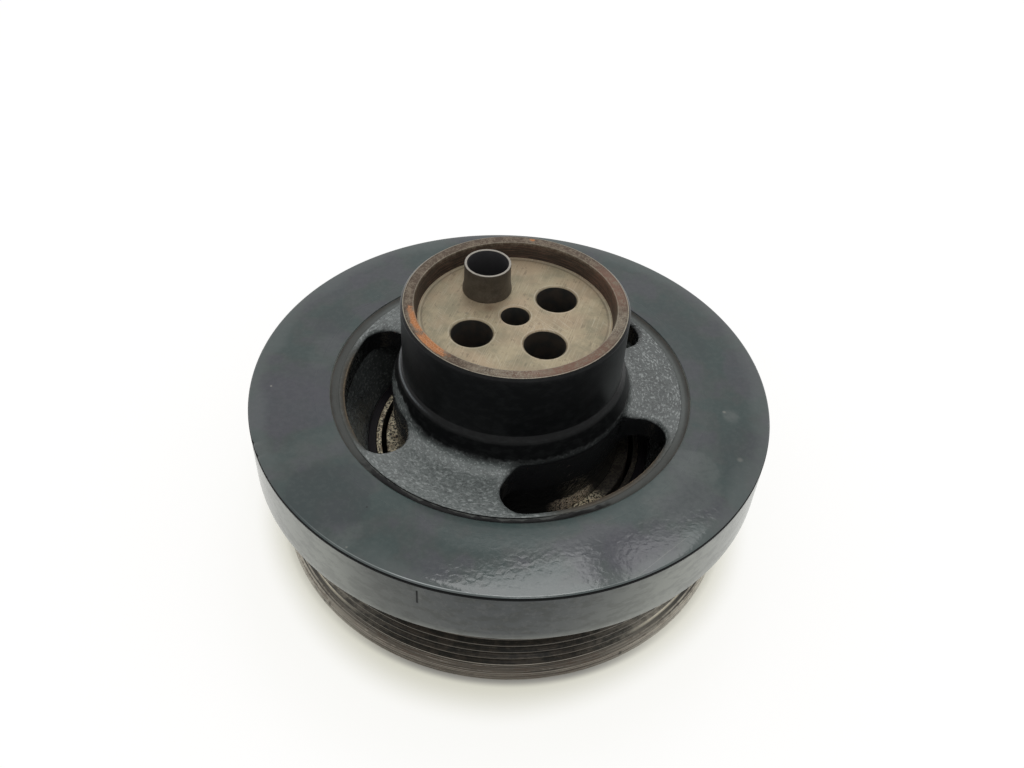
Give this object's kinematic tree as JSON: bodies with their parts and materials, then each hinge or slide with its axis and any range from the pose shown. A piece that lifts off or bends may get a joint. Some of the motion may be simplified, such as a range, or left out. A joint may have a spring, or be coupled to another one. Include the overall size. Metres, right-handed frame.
{
  "type": "harmonic balancer",
  "caption": "Crankshaft harmonic balancer: cast hub with a flanged neck and kidney windows, rubber-mounted inertia ring, and a rubber-sprung ribbed belt pulley below.",
  "frame": {"origin": "on the crankshaft axis, in the plane of the pulley's lower face, on which the part rests", "axes": "+Z along the crankshaft axis from the belt pulley towards the crankshaft, so the hub's neck points up; +X starts the angles of the bolt holes, the first at 36.5 degrees and the locating sleeve at 126.5 degrees"},
  "size_m": [0.17, 0.17, 0.0925],
  "materials": {
    "hub_paint": "black paint over cast iron",
    "ring_paint": "satin dark slate paint over turned cast iron",
    "rubber": "matt",
    "sleeve_steel": "dull and stained",
    "oily_steel": "oily brown film",
    "bush_polymer": "matt",
    "rusty_steel": "light rust",
    "sheet_steel": "dull"
  },
  "bodies": {
    "root": {"hub": "hub_paint", "inertia_ring": "ring_paint", "damper_rubber": "rubber", "locating_sleeve": "sleeve_steel", "pulley": "oily_steel", "bearing_bush": "bush_polymer", "thrust_ring": "bush_polymer", "retaining_ring": "rusty_steel", "carrier_ring": "sheet_steel", "shell_ring": "sheet_steel", "decoupling_rubber": "rubber"}
  },
  "joints": []
}
